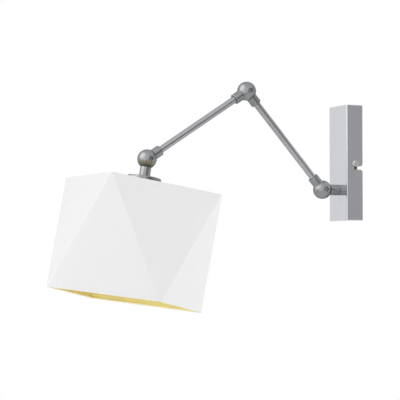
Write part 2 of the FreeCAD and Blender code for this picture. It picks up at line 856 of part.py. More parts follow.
def make_hinge_hardware(joint, place):
    """Screw, spring washer, friction washer and nut of one knuckle, in the frame of its nut pocket."""
    body = new_body(f"{joint}_hinge_screw", place)
    tail = NUT_FLOOR + s.nut_height + s.hinge_screw_tail
    head_face = HINGE_HEAD_BASE + s.hinge_head_height
    sketch = new_sketch(body, "YZ_Plane", HINGE_HEAD_BASE)
    circle(sketch, s.hinge_head_radius)
    pad(body, sketch, s.hinge_head_height)
    sketch = new_sketch(body, "YZ_Plane", HINGE_HEAD_BASE)
    circle(sketch, s.hinge_screw_radius)
    pad(body, sketch, HINGE_HEAD_BASE + tail, Reversed=True)
    sketch = new_sketch(body, "YZ_Plane", head_face)
    hexagon(sketch, s.hinge_key_across)
    pocket(body, sketch, s.hinge_key_depth)
    chamfer(body, s.hinge_head_edge, lambda edge, middle: near(middle.x, head_face)
            and near(math.hypot(middle.y, middle.z), s.hinge_head_radius))

    inner = s.hinge_screw_radius + s.washer_clearance
    body = new_body(f"{joint}_spring_washer", place)
    sketch = new_sketch(body, "YZ_Plane", RECESS_FLOOR + s.washer_clearance)
    circle(sketch, s.spring_washer_radius)
    circle(sketch, inner)
    pad(body, sketch, s.spring_washer_sheet - s.washer_clearance)

    body = new_body(f"{joint}_friction_washer", place)
    sketch = new_sketch(body, "YZ_Plane", -BOSS_FACE)
    circle(sketch, s.boss_radius)
    circle(sketch, inner)
    pad(body, sketch, BOSS_FACE * 2 - s.washer_clearance)

    body = new_body(f"{joint}_hinge_nut", place)
    sketch = new_sketch(body, "YZ_Plane", -NUT_FLOOR)
    hexagon(sketch, s.nut_across)
    circle(sketch, inner)
    pad(body, sketch, s.nut_height, Reversed=True)


# Leads and arms


def routed_lead(label, placement, points, radius, bend):
    """A round lead through straight runs joined by tangent arcs, in the local frame of its body."""
    path = []
    start = points[0]
    for before, corner, after in zip(points, points[1:], points[2:]):
        entering = (corner - before).normalize()
        leaving = (after - corner).normalize()
        half_turn = entering.getAngle(leaving) / 2
        cut_back = bend * math.tan(half_turn)
        arc_start = corner - entering * cut_back
        arc_end = corner + leaving * cut_back
        to_centre = (leaving - entering).normalize()
        middle = corner + to_centre * (bend / math.cos(half_turn) - bend)
        path.append(Part.LineSegment(start, arc_start).toShape())
        path.append(Part.Arc(arc_start, middle, arc_end).toShape())
        start = arc_end
    path.append(Part.LineSegment(start, points[-1]).toShape())
    wire = Part.Wire(path)
    section = Part.Wire([Part.makeCircle(radius, points[0], points[1] - points[0])])
    lead = wire.makePipeShell([section], True, False)
    expected = math.pi * radius ** 2 * wire.Length
    if abs(lead.Volume / expected - 1) > 0.01:
        raise RuntimeError(f"{label}: volume {lead.Volume:.1f}, expected {expected:.1f}")
    feature = doc.addObject("Part::Feature", label)
    feature.Shape = lead
    feature.Placement = placement
    return keep(feature, label)


def lead_entry(side, stem_length):
    """Points of a lead from a half ball's cavity, clear of its boss, to the middle of its stem's end."""
    port_x = s.port_offset.value * side
    start = (s.boss_radius + s.lead_radius).value
    return [Vector(port_x, 0, start), Vector(port_x, 0, LEAD_TURN.value), Vector(0, 0, stem_length.value)]


def make_lead(label, placement, points):
    routed_lead(label, placement, points, s.lead_radius.value, s.lead_bend.value)


def make_core(label, placement, points):
    routed_lead(label, placement, points, s.core_radius.value, s.core_bend.value)


def make_arm(name, placement, length, near_side, far_side):
    """Tube of an arm, and the lead inside it from one knuckle's cavity to the next one's."""
    socket_face = s.sleeve_length - s.tube_socket
    ring(f"{name}_tube", placement, s.tube_radius, s.tube_radius - s.tube_wall,
         socket_face, length - socket_face)
    near_end = lead_entry(near_side, s.sleeve_length)
    far_end = lead_entry(far_side, s.sleeve_length)
    turned_far_end = [Vector(point.x, 0, length.value - point.z) for point in reversed(far_end)]
    make_lead(f"{name}_lead", placement, near_end + turned_far_end)


def make_sleeve_half(label, placement, side):
    """Knuckle half whose stem is the sleeve of an arm's tube."""
    make_knuckle_half(label, placement, side, s.sleeve_length,
                      s.tube_radius + s.tube_clearance, s.tube_socket)


def make_nipple(name, placement, face, inner_face):
    """Hollow threaded nipple that ties a stem to the sheet in front of it."""
    ring(f"{name}_nipple", placement, s.nipple_radius, s.nipple_bore, face - s.nipple_grip, inner_face)


def make_neck_fasteners():
    """Toothed lock washer and hexagonal nut on the nipple, inside the wall cover."""
    inside = s.neck_reach + s.cover_sheet
    inner = s.nipple_radius + s.thread_clearance
    body = ring("neck_lock_washer", NECK_STEM, s.lock_washer_radius, inner,
                inside, inside + s.lock_washer_sheet)
    sketch = new_sketch(body, "XY_Plane", inside)
    circle(sketch, s.lock_washer_notch, (s.lock_washer_radius, ZERO))
    notch = pocket(body, sketch, s.lock_washer_sheet, Reversed=True)
    polar(body, notch, (sketch, ["N_Axis"]), s.lock_washer_tooth_count)

    seat = inside + s.lock_washer_sheet
    body = new_body("neck_nut", NECK_STEM)
    sketch = new_sketch(body, "XY_Plane", seat)
    hexagon(sketch, s.nipple_nut_across)
    circle(sketch, inner)
    pad(body, sketch, s.nipple_nut_height)


def make_box_leads():
    """The arm's lead where it comes through the neck, and its two cores up to the terminals."""
    turn_z = s.neck_reach + s.box_depth - s.lead_from_wall
    corner = Vector(0, 0, turn_z.value)
    end = Vector(0, -s.lead_rise.value, turn_z.value)
    make_lead("neck_lead", NECK_STEM, lead_entry(-1, s.neck_reach) + [corner, end])

    start_y = -s.lead_from_wall.value
    start_z = (s.lead_rise - s.neck_drop).value
    wire_y = -terminal_wire_depth().value
    wire_z = (s.terminal_rise - s.terminal_height / 2).value
    bend = s.core_bend.value
    for label, side in (("live_core", -1), ("neutral_core", 1)):
        start_x = s.core_spread.value * side
        end_x = s.terminal_pitch.value * side
        make_core(label, AT_WALL, [
            Vector(start_x, start_y, start_z),
            Vector(start_x, start_y, start_z + bend),
            Vector(end_x, wire_y, wire_z - bend * 2),
            Vector(end_x, wire_y, wire_z + s.core_entry.value),
        ])


def make_earth_link():
    """Crimped tag under the earth screw, and the core from it round the grommet to the middle pole."""
    tag_frame = EARTH_SCREW.multiply(Placement(Vector(), Rotation(Vector(0, 0, 1), -s.earth_tag_angle.value)))
    body = new_body("earth_tag", tag_frame)
    sketch = new_sketch(body, "XY_Plane", s.bracket_sheet)
    circle(sketch, s.earth_tag_radius)
    pad(body, sketch, s.earth_tag_sheet)
    half = s.earth_tag_width / 2
    sketch = new_sketch(body, "XY_Plane", s.bracket_sheet)
    box_outline(sketch, (-half, s.earth_screw_radius), (half, s.earth_tag_length))
    pad(body, sketch, s.earth_tag_sheet)
    sketch = new_sketch(body, "XY_Plane", s.bracket_sheet)
    circle(sketch, s.earth_screw_radius + s.thread_clearance)
    pocket(body, sketch)

    lift = (s.bracket_sheet + s.core_radius + s.thread_clearance).value
    bend = s.core_bend.value
    end = tag_frame.multVec(Vector(0, s.earth_tag_length.value, lift))
    ahead = tag_frame.multVec(Vector(0, s.earth_tag_length.value + bend, lift))
    wire_y = -terminal_wire_depth().value
    wire_z = (s.terminal_rise - s.terminal_height / 2).value
    make_core("earth_core", AT_WALL, [
        end,
        ahead,
        Vector(ahead.x, -lift - s.core_radius.value, -s.bracket_arm_height.value),
        Vector(0, wire_y, wire_z - bend * 3),
        Vector(0, wire_y, wire_z + s.core_entry.value),
    ])


# Lamp head, in a frame whose origin is the head ball's centre and Z runs along the shade's axis


def make_cap():
    """Shallow pressed cap between the neck and the shade, with a turned-down rim."""
    rim_inner = s.cap_radius - s.cap_sheet
    bore = s.nipple_radius + s.thread_clearance
    top = s.head_neck_length
    body = turned("head_cap", LAMP_HEAD, [
        (bore, top),
        (s.cap_radius, top),
        (s.cap_radius, top + s.cap_height),
        (rim_inner, top + s.cap_height),
        (rim_inner, CAP_UNDERSIDE),
        (bore, CAP_UNDERSIDE),
    ])
    fillet(body, s.cap_edge_radius, lambda edge, middle: near(middle.z, top)
           and near(math.hypot(middle.x, middle.y), s.cap_radius))


def make_lampholder():
    """Lampholder: threaded collar and dome, skirt with flange, base, screw shell and contact."""
    bore = s.nipple_radius + s.thread_clearance
    collar_end = CAP_UNDERSIDE + s.holder_collar_height
    wall = s.holder_wall
    shoulder = collar_end + s.holder_collar_height
    turned("lampholder_dome", LAMP_HEAD, [
        (bore, CAP_UNDERSIDE),
        (s.holder_collar_radius, CAP_UNDERSIDE),
        (s.holder_collar_radius, collar_end),
        (s.holder_radius, shoulder),
        (s.holder_radius, HOLDER_RIM),
        (s.holder_radius - wall, HOLDER_RIM),
        (s.holder_radius - wall, shoulder + wall),
        (s.holder_collar_radius, collar_end + wall),
        (bore, collar_end + wall),
    ])
    thread = s.holder_radius - wall - s.holder_gap
    inner = s.shell_cup_radius + s.shell_sheet + s.base_clearance
    base_top = FLANGE_TOP - s.base_height / 2
    base_end = base_top + s.base_height
    skirt_wall = s.holder_skirt_radius - wall
    turned("lampholder_skirt", LAMP_HEAD, [
        (inner, base_end),
        (thread - wall, base_end),
        (thread - wall, base_top),
        (thread, base_top),
        (thread, FLANGE_TOP),
        (s.holder_flange_radius, FLANGE_TOP),
        (s.holder_flange_radius, FLANGE_UNDERSIDE),
        (s.holder_skirt_radius, FLANGE_UNDERSIDE),
        (s.holder_skirt_radius, SKIRT_END),
        (skirt_wall, SKIRT_END),
        (skirt_wall, base_end + wall),
        (inner, base_end + wall),
    ])
    body = new_body("lampholder_base", LAMP_HEAD)
    sketch = new_sketch(body, "XY_Plane", base_top)
    circle(sketch, thread - wall - s.base_clearance)
    pad(body, sketch, s.base_height)
    sketch = new_sketch(body, "XY_Plane", base_top)
    for side in (-1, 1):
        circle(sketch, s.core_radius + s.base_clearance, (s.shell_radius / 2 * side, ZERO))
    pocket(body, sketch, s.base_height / 2, Reversed=True)
    make_screw_shell(base_end)
    make_centre_contact(base_end)


def make_screw_shell(base_end):
    """Pressed brass shell for the bulb's screw cap: a cup on the base, a short cone and a wide sleeve."""
    outer = s.shell_radius + s.shell_sheet
    cup_outer = s.shell_cup_radius + s.shell_sheet
    cup_end = base_end + s.shell_cup_height
    cone_end = cup_end + s.shell_cone_height
    shell_end = cone_end + s.shell_thread_length
    turned("lampholder_shell", LAMP_HEAD, [
        (s.contact_width, base_end),
        (cup_outer, base_end),
        (cup_outer, cup_end),
        (outer, cone_end),
        (outer, shell_end),
        (s.shell_radius, shell_end),
        (s.shell_radius, cone_end),
        (s.shell_cup_radius, cup_end),
        (s.shell_cup_radius, base_end + s.shell_sheet),
        (s.contact_width, base_end + s.shell_sheet),
    ])


def make_centre_contact(base_end):
    """Sprung brass strip that rises from the base to meet the bulb's tip."""
    body = new_body("lampholder_contact", LAMP_HEAD)
    half = s.contact_width / 2
    reach = s.contact_width - s.base_clearance * 3
    sketch = new_sketch(body, "YZ_Plane")
    outline(sketch, [
        (-reach, base_end),
        (half, base_end),
        (reach, base_end + s.contact_rise),
        (-reach, base_end + s.contact_rise * 2),
        (-reach, base_end + s.contact_rise * 2 - s.contact_sheet),
        (reach - s.contact_sheet * 2, base_end + s.contact_rise),
        (half - s.contact_sheet, base_end + s.contact_sheet),
        (-reach, base_end + s.contact_sheet),
    ])
    pad(body, sketch, s.contact_width / 2, Midplane=True)


def make_head_leads():
    """The head's lead through the neck, and its two cores down to the lampholder's base."""
    split = (CAP_UNDERSIDE + s.holder_collar_height + s.holder_wall).value
    make_lead("head_lead", LAMP_HEAD, lead_entry(-1, s.head_neck_length) + [Vector(0, 0, split)])
    bend = s.core_bend.value
    base_top = (FLANGE_TOP - s.base_height / 2).value
    for label, side in (("head_live_core", -1), ("head_neutral_core", 1)):
        start_x = s.core_spread.value * side
        end_x = s.shell_radius.value / 2 * side
        make_core(label, LAMP_HEAD, [
            Vector(start_x, 0, split),
            Vector(start_x, 0, split + bend),
            Vector(end_x, 0, base_top - bend),
            Vector(end_x, 0, base_top + s.core_entry.value),
        ])


def make_shade_ring():
    """Ribbed retaining ring that clamps the shade's spider under the lampholder's flange."""
    inner = s.holder_skirt_radius + s.holder_gap
    body = ring("shade_ring", LAMP_HEAD, s.shade_ring_radius, inner,
                SPIDER_UNDERSIDE, SPIDER_UNDERSIDE + s.shade_ring_height)
    sketch = new_sketch(body, "XY_Plane", SPIDER_UNDERSIDE)
    circle(sketch, s.shade_ring_rib_radius, (s.shade_ring_radius + s.shade_ring_rib_radius / 2, ZERO))
    notch = pocket(body, sketch, s.shade_ring_height, Reversed=True)
    polar(body, notch, (sketch, ["N_Axis"]), s.shade_ring_rib_count)


# Shade


LEAN = s.shade_side / math.sqrt(2.0) - s.shade_side / 2


def lean_factor():
    """How much wider a sheet measures across the shade than through its own leaning facet."""
    return math.hypot(LEAN.value, s.shade_height.value) / s.shade_height.value


def facet_frusta(name, low, high, depth):
    """Two square frusta whose common part is the shade's folded form between two heights.

    The first has the four facets that hang from the top square. The second is turned by an eighth
    and upside down, with the four facets that stand on the bottom square. All are set in by a depth
    of sheet.
    """
    inset = as_size(depth) * lean_factor()
    narrow = s.shade_side / 2 - inset
    wide = s.shade_side / math.sqrt(2.0) - inset - s.corner_blunt
    rise = (wide - narrow) / s.shade_height
    from_top = as_size(low) - SHADE_TOP
    to_low = as_size(high) - SHADE_TOP
    frusta = []
    for turn, start, slope in ((0.0, narrow, rise), (45.0, wide, -rise)):
        frustum = doc.addObject("Part::Wedge", f"{name}_frustum")
        bind(frustum, "Ymin", low)
        bind(frustum, "Ymax", high)
        near_half = start + slope * from_top
        far_half = start + slope * to_low
        for prefix in ("X", "Z"):
            bind(frustum, f"{prefix}min", -near_half)
            bind(frustum, f"{prefix}max", near_half)
            bind(frustum, f"{prefix}2min", -far_half)
            bind(frustum, f"{prefix}2max", far_half)
        upright = Rotation(Vector(1, 0, 0), 90.0)
        frustum.Placement = Placement(Vector(), Rotation(Vector(0, 0, 1), turn).multiply(upright))
        frusta.append(frustum)
    return frusta


def combine(kind, name, base, tool):
    """A boolean of two solids, kept in the model under a name."""
    result = doc.addObject(f"Part::{kind}", name)
    result.Base = base
    result.Tool = tool
    return result


def facet_shell(label, low, high, outer_depth, inner_depth):
    """A sheet of the shade's folded form, open at the top and the bottom."""
    outer = facet_frusta(f"{label}_outside", low, high, outer_depth)
    inner = facet_frusta(f"{label}_inside", low - CUT_MARGIN, high + CUT_MARGIN, inner_depth)
    outside = combine("Common", f"{label}_outside", *outer)
    inside = combine("Common", f"{label}_inside", *inner)
    shell = combine("Cut", label, outside, inside)
    shell.Placement = LAMP_HEAD
    keep(shell, label)


def make_shade_panels():
    """The cover: four panels that hang from the top square, and four between them that stand on the bottom.

    A hanging panel runs to the cover's outside at both of its folds, and the standing panels meet it there.
    """
    hanging, standing = facet_frusta("panels_outside", SHADE_TOP, SHADE_BOTTOM, ZERO)
    hanging_core, standing_core = facet_frusta(
        "panels_inside", SHADE_TOP - CUT_MARGIN, SHADE_BOTTOM + CUT_MARGIN, s.shade_sheet)
    for label, outer, core, limit in (("shade_panels_hanging", hanging, hanging_core, standing),
                                      ("shade_panels_standing", standing, standing_core, hanging_core)):
        walls = combine("Cut", f"{label}_walls", outer, core)
        panels = combine("Common", label, walls, limit)
        panels.Placement = LAMP_HEAD
        keep(panels, label)


def make_shade_sheets():
    """The shade's white cover, its lining, and the binding of its top and bottom edges."""
    make_shade_panels()
    lined = s.shade_sheet + s.lining_sheet
    binding_low = SHADE_TOP + s.binding_height
    binding_high = SHADE_BOTTOM - s.binding_height
    facet_shell("shade_lining", binding_low, binding_high, s.shade_sheet, lined)
    facet_shell("top_binding", SHADE_TOP, binding_low, s.shade_sheet, lined)
    facet_shell("bottom_binding", binding_high, SHADE_BOTTOM, s.shade_sheet, lined)


def frame_half():
    """Half the side of a wire frame's centre line, which lies just inside the binding."""
    inset = (s.shade_sheet + s.lining_sheet) * lean_factor() + s.frame_wire_radius + s.frame_seat
    return s.shade_side / 2 - inset


def sweep(body, section, path):
    """Add a wire of a given section along a path, with mitred corners."""
    pipe = body.newObject("PartDesign::AdditivePipe", "Wire")
    pipe.Profile = section
    pipe.Spine = path
    pipe.Transition = "Right corner"
    doc.recompute()


def wire_frame(body, height):
    """Add a square frame of bent wire to a body."""
    half = frame_half()
    path = new_sketch(body, "XY_Plane", height)
    box_outline(path, (-half, -half), (half, half))
    section = new_sketch(body, "YZ_Plane")
    circle(section, s.frame_wire_radius, (half, height))
    sweep(body, section, path)


def make_bottom_frame():
    """Square wire that holds the shade's lower edge in shape."""
    eighth = Placement(Vector(), Rotation(Vector(0, 0, 1), 45.0))
    body = new_body("shade_bottom_frame", LAMP_HEAD.multiply(eighth))
    wire_frame(body, SHADE_BOTTOM - s.frame_wire_radius)


def make_shade_carrier():
    """Welded carrier: the ring that the shade hangs by, four spokes, and the square top wire."""
    body = new_body("shade_carrier", LAMP_HEAD)
    sketch = new_sketch(body, "XY_Plane", FLANGE_UNDERSIDE)
    circle(sketch, s.spider_radius)
    circle(sketch, s.holder_skirt_radius + s.holder_gap)
    pad(body, sketch, s.spider_sheet)
    inner = (s.spider_radius - s.spoke_radius, FLANGE_UNDERSIDE + s.spider_sheet / 2)
    outer = (frame_half(), SHADE_TOP + s.frame_wire_radius)
    run = outer[0] - inner[0]
    rise = inner[1] - outer[1]
    length = hypotenuse(run, rise)
    across = (s.spoke_radius * rise / length, s.spoke_radius * run / length)
    sketch = new_sketch(body, "XZ_Plane")
    outline(sketch, [
        inner,
        outer,
        (outer[0] - across[0], outer[1] - across[1]),
        (inner[0] - across[0], inner[1] - across[1]),
    ])
    spoke = revolve(body, sketch, "Edge1")
    polar(body, spoke, (sketch, ["V_Axis"]), s.spoke_count)
    wire_frame(body, outer[1])


# Assembly


def make_wall_box():
    make_bracket()
    make_grommet()
    make_cover()
    make_cover_screws()
    make_terminal_block()
    make_terminal_screws()
    make_earth_screw()
    make_earth_link()
    make_box_leads()


def make_shoulder():
    make_knuckle_half("shoulder_neck", NECK_STEM, -1, s.neck_reach,
                      s.nipple_radius + s.thread_clearance, s.nipple_grip)
    tail = s.neck_reach + s.nipple_tail
    make_nipple("neck", NECK_STEM, s.neck_reach, tail)
    make_neck_fasteners()
    make_hinge_hardware("shoulder", NECK_STEM)


def make_lower_arm():
    make_sleeve_half("lower_arm_base", LOWER_ARM, 1)
    make_arm("lower_arm", LOWER_ARM, s.lower_arm_length, 1, 1)
    make_sleeve_half("lower_arm_tip", LOWER_ARM_END, 1)


def make_upper_arm():
    make_sleeve_half("upper_arm_base", UPPER_ARM, -1)
    make_arm("upper_arm", UPPER_ARM, s.upper_arm_length, -1, 1)
    make_sleeve_half("upper_arm_tip", UPPER_ARM_END, 1)
    make_hinge_hardware("elbow", UPPER_ARM)


def make_lamp_head():
    make_knuckle_half("head_neck", LAMP_HEAD, -1, s.head_neck_length,
                      s.nipple_radius + s.thread_clearance, s.nipple_grip)
    make_hinge_hardware("head", LAMP_HEAD)
    make_nipple("head", LAMP_HEAD, s.head_neck_length, CAP_UNDERSIDE + s.holder_collar_height)
    make_cap()
    make_lampholder()
    make_head_leads()
    make_shade_carrier()
    make_shade_ring()
    make_bottom_frame()
    make_shade_sheets()


def check_and_export():
    """Refuse a failed object or an empty solid, then write each sub-part to its own file."""
    doc.recompute()
    for item in doc.Objects:
        if "Invalid" in item.State or "Error" in item.State:
            raise RuntimeError(f"{item.Label} failed: {item.State}")
    for node in nodes:
        if node.Shape.isNull() or not node.Shape.isValid() or not node.Shape.Solids:
            raise RuntimeError(f"{node.Label} has no valid solid")
    os.makedirs("parts", exist_ok=True)
    for node in nodes:
        node.Shape.exportStep(f"parts/{node.Label}.step")
        print(f"{node.Label}: {len(node.Shape.Solids)} solid, {node.Shape.Volume / 1000.0:.2f} cm3")


make_wall_box()
make_shoulder()
make_lower_arm()
make_upper_arm()
make_lamp_head()
check_and_export()
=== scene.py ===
import json
import math

import bmesh
import bpy
from mathutils import Matrix, Vector


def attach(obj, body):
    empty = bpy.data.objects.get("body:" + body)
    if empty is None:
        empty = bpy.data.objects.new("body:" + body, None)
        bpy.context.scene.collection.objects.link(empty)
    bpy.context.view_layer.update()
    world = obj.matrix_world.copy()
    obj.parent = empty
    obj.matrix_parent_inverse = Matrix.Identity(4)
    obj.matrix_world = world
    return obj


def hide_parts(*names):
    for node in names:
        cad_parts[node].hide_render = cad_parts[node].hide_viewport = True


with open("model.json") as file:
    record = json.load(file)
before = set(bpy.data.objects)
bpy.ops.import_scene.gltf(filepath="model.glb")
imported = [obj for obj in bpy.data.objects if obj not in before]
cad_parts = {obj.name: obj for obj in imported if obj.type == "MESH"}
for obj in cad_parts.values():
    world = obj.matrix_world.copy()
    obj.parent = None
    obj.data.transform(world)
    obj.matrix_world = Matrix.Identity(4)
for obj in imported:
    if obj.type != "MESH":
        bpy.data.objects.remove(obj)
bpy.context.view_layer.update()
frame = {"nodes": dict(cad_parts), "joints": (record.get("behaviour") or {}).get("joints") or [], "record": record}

MM = 0.001
JOINT = {joint["name"]: Vector(joint["pos_m"]) for joint in frame["joints"]}
SHOULDER = JOINT["shoulder_hinge"]
ELBOW = JOINT["elbow_hinge"]
HEAD = JOINT["head_hinge"]


# Materials

# Wear is this wide in metres. It sets in as the rounded normal turns away from the flat one, and
# only on edges that stand out
WEAR_WIDTH = 0.0006
MOST_WEAR = 0.8
NEAR_EDGE = (0.99, 0.88)
OUTER_EDGE = (0.50, 0.54)
# Brushing, in noise cells per metre
BRUSHING_ACROSS = 2600.0
BRUSHING_ALONG = 30.0


def node_tree(name):
    """A new material with its shader, and its nodes and links."""
    material = bpy.data.materials.new(name)
    material.use_nodes = True
    tree = material.node_tree
    shader = tree.nodes["Principled BSDF"]
    return material, tree, shader


def add(tree, kind, **settings):
    """Add a node, with its properties and its unlinked inputs set by name."""
    node = tree.nodes.new(kind)
    for name, value in settings.items():
        if name in node.inputs:
            node.inputs[name].default_value = value
        else:
            setattr(node, name, value)
    return node


def place(tree, scale=(1, 1, 1), turn=0.0, uv=False):
    """The piece's own coordinates or its UV map's, made finer by scale and turned about X."""
    source = add(tree, "ShaderNodeTexCoord")
    mapping = add(tree, "ShaderNodeMapping", vector_type="TEXTURE")
    mapping.inputs["Rotation"].default_value = (turn, 0, 0)
    mapping.inputs["Scale"].default_value = tuple(1.0 / factor for factor in scale)
    tree.links.new(source.outputs["UV" if uv else "Object"], mapping.inputs["Vector"])
    return mapping.outputs["Vector"]


def noise(tree, where, scale, detail=3.0):
    """Smooth noise from 0 to 1."""
    node = add(tree, "ShaderNodeTexNoise", Scale=scale, Detail=detail, Roughness=0.55)
    tree.links.new(where, node.inputs["Vector"])
    return node.outputs["Fac"]


def remap(tree, value, low, high, start=0.0, end=1.0):
    """Spread a value from the range start to end over the range low to high."""
    node = add(tree, "ShaderNodeMapRange")
    limits = {"From Min": start, "From Max": end, "To Min": low, "To Max": high}
    for name, number in limits.items():
        node.inputs[name].default_value = number
    tree.links.new(value, node.inputs["Value"])
    return node.outputs["Result"]


def mix(tree, factor, first, second):
    """Mix two colours by a factor."""
    node = tree.nodes.new("ShaderNodeMix")
    node.data_type = "RGBA"
    tree.links.new(factor, node.inputs["Factor"])
    for socket, colour in ((node.inputs["A"], first), (node.inputs["B"], second)):
        if isinstance(colour, tuple):
            socket.default_value = (*colour, 1.0)
        else:
            tree.links.new(colour, socket)
    return node.outputs["Result"]


def bump(tree, height, distance, strength=1.0, below=None):
    """Raise the surface by a height, on top of another bump."""
    node = add(tree, "ShaderNodeBump", Strength=strength, Distance=distance)
    tree.links.new(height, node.inputs["Height"])
    if below is not None:
        tree.links.new(below, node.inputs["Normal"])
    return node.outputs["Normal"]


def worn_edges(tree):
    """How far a point is rubbed bright: along the outer edges, and not in the inner corners."""
    rounded = add(tree, "ShaderNodeBevel", samples=4, Radius=WEAR_WIDTH)
    flat = add(tree, "ShaderNodeNewGeometry")
    likeness = add(tree, "ShaderNodeVectorMath", operation="DOT_PRODUCT")
    tree.links.new(rounded.outputs["Normal"], likeness.inputs[0])
    tree.links.new(flat.outputs["Normal"], likeness.inputs[1])
    near = remap(tree, likeness.outputs["Value"], 0.0, MOST_WEAR, *NEAR_EDGE)
    outer = remap(tree, flat.outputs["Pointiness"], 0.0, 1.0, *OUTER_EDGE)
    worn = add(tree, "ShaderNodeMath", operation="MULTIPLY")
    tree.links.new(near, worn.inputs[0])
    tree.links.new(outer, worn.inputs[1])
    return worn.outputs["Value"]


def tone(colour, factor):
    """A colour made darker or lighter by a factor."""
    return tuple(min(channel * factor, 1.0) for channel in colour)


def solid(name, colour, roughness, metallic=0.0, patch=35.0, spread=0.06, grain=900.0,
          depth=0.00003, stretch=(1, 1, 1), turn=0.0, wear=None, **sockets):
    """A procedural finish: patchy tone, uneven gloss, a fine grain, and worn edges.

    patch and grain are noise scales, spread is how far tone and gloss vary, and depth is the
    grain's height in metres. stretch and turn shape the grain as they do in place. wear is the
    colour that shows along worn edges.
    """
    material, tree, shader = node_tree(name)
    where = place(tree)
    along = place(tree, stretch, turn)
    patches = noise(tree, where, patch)
    base = mix(tree, patches, tone(colour, 1 - spread), tone(colour, 1 + spread))
    streaks = noise(tree, along, grain, detail=2.0)
    base = mix(tree, remap(tree, streaks, 0.0, 0.5), base, tone(colour, 1 - spread / 2))
    gloss = remap(tree, patches, roughness * (1 - spread), roughness * (1 + spread))
    if wear is not None:
        base = mix(tree, worn_edges(tree), base, wear)
    tree.links.new(base, shader.inputs["Base Color"])
    tree.links.new(gloss, shader.inputs["Roughness"])
    tree.links.new(bump(tree, streaks, depth), shader.inputs["Normal"])
    shader.inputs["Metallic"].default_value = metallic
    for socket, value in sockets.items():
        shader.inputs[socket.replace("_", " ")].default_value = value
    return material


def brushed(name, colour, roughness, turn, **settings):
    """Metal with fine brushing along a line that leans from +Z by a turn about X."""
    return solid(name, colour, roughness, metallic=1.0, grain=1.0, depth=0.000004,
                 stretch=(BRUSHING_ACROSS, BRUSHING_ACROSS, BRUSHING_ALONG), turn=turn, **settings)


def make_cloth(name, colour):
    """White cloth on stiff sheet: a fine weave with slubs, and a faint unevenness of tone."""
    material, tree, shader = node_tree(name)
    cloth = place(tree, uv=True)
    where = place(tree)
    threads = []
    for direction in ("X", "Y"):
        wave = add(tree, "ShaderNodeTexWave", wave_type="BANDS", bands_direction=direction,
                   Scale=380.0, Distortion=1.2)
        wave.inputs["Detail Scale"].default_value = 2.0
        tree.links.new(cloth, wave.inputs["Vector"])
        threads.append(wave.outputs["Fac"])
    weave = add(tree, "ShaderNodeMath", operation="MAXIMUM")
    for number, thread in enumerate(threads):
        tree.links.new(thread, weave.inputs[number])
    slubs = noise(tree, place(tree, (420.0, 36.0, 1.0), uv=True), 1.0, detail=2.0)
    cloud = noise(tree, where, 14.0, detail=2.0)
    base = mix(tree, cloud, tone(colour, 0.985), colour)
    base = mix(tree, remap(tree, slubs, 0.0, 0.6, 0.45, 0.8), base, tone(colour, 0.965))
    tree.links.new(base, shader.inputs["Base Color"])
    tree.links.new(remap(tree, slubs, 0.74, 0.9), shader.inputs["Roughness"])
    woven = bump(tree, weave.outputs["Value"], 0.00005, 0.6)
    tree.links.new(bump(tree, slubs, 0.00008, 0.6, woven), shader.inputs["Normal"])
    shader.inputs["Sheen Weight"].default_value = 0.15
    shader.inputs["Sheen Roughness"].default_value = 0.5
    return material


def make_gold_film(name):
    """Thin gold film glued to the shade's inside, with the faint waves of the sheet behind it."""
    material, tree, shader = node_tree(name)
    film = place(tree, (90.0, 9.0, 1.0), uv=True)
    waves = noise(tree, film, 1.0, detail=1.5)
    cloud = noise(tree, place(tree), 18.0)
    base = mix(tree, cloud, (0.99, 0.93, 0.52), (1.0, 0.97, 0.62))
    tree.links.new(base, shader.inputs["Base Color"])
    tree.links.new(remap(tree, cloud, 0.62, 0.70), shader.inputs["Roughness"])
    fine = noise(tree, place(tree, (1500.0, 260.0, 1.0), uv=True), 1.0)
    waved = bump(tree, waves, 0.0004, 0.35)
    tree.links.new(bump(tree, fine, 0.00002, 0.5, waved), shader.inputs["Normal"])
    shader.inputs["Metallic"].default_value = 0.9
    shader.inputs["Specular Tint"].default_value = (0.60, 0.15, 0.0, 1.0)
    return material


def make_galvanised(name):
    """Zinc-coated sheet with its spangle of flat crystals."""
    material, tree, shader = node_tree(name)
    where = place(tree)
    cells = add(tree, "ShaderNodeTexVoronoi", Scale=210.0)
    tree.links.new(where, cells.inputs["Vector"])
    split = add(tree, "ShaderNodeSeparateColor")
    tree.links.new(cells.outputs["Color"], split.inputs["Color"])
    crystal = split.outputs["Red"]
    base = mix(tree, crystal, (0.50, 0.51, 0.52), (0.66, 0.67, 0.68))
    tree.links.new(base, shader.inputs["Base Color"])
    tree.links.new(remap(tree, crystal, 0.34, 0.52), shader.inputs["Roughness"])
    tree.links.new(bump(tree, noise(tree, where, 700.0), 0.00001), shader.inputs["Normal"])
    shader.inputs["Metallic"].default_value = 1.0
    return material


def make_striped(name, first, second):
    """Smooth insulation in two colours that run side by side."""
    material, tree, shader = node_tree(name)
    wave = add(tree, "ShaderNodeTexWave", wave_type="BANDS", bands_direction="DIAGONAL",
               Scale=120.0)
    tree.links.new(place(tree), wave.inputs["Vector"])
    stripe = remap(tree, wave.outputs["Fac"], 0.0, 1.0, 0.45, 0.55)
    tree.links.new(mix(tree, stripe, first, second), shader.inputs["Base Color"])
    grain = noise(tree, place(tree), 800.0)
    tree.links.new(bump(tree, grain, 0.00002), shader.inputs["Normal"])
    shader.inputs["Roughness"].default_value = 0.45
    return material


# The arms' own directions give the line of brushing on each tube
LOWER_TURN = math.atan2(ELBOW.y - SHOULDER.y, ELBOW.z - SHOULDER.z)
UPPER_TURN = math.atan2(HEAD.y - ELBOW.y, HEAD.z - ELBOW.z)
CASTING = (0.29, 0.298, 0.308)
TUBING = (0.40, 0.405, 0.42)
BRIGHT = (0.42, 0.425, 0.435)
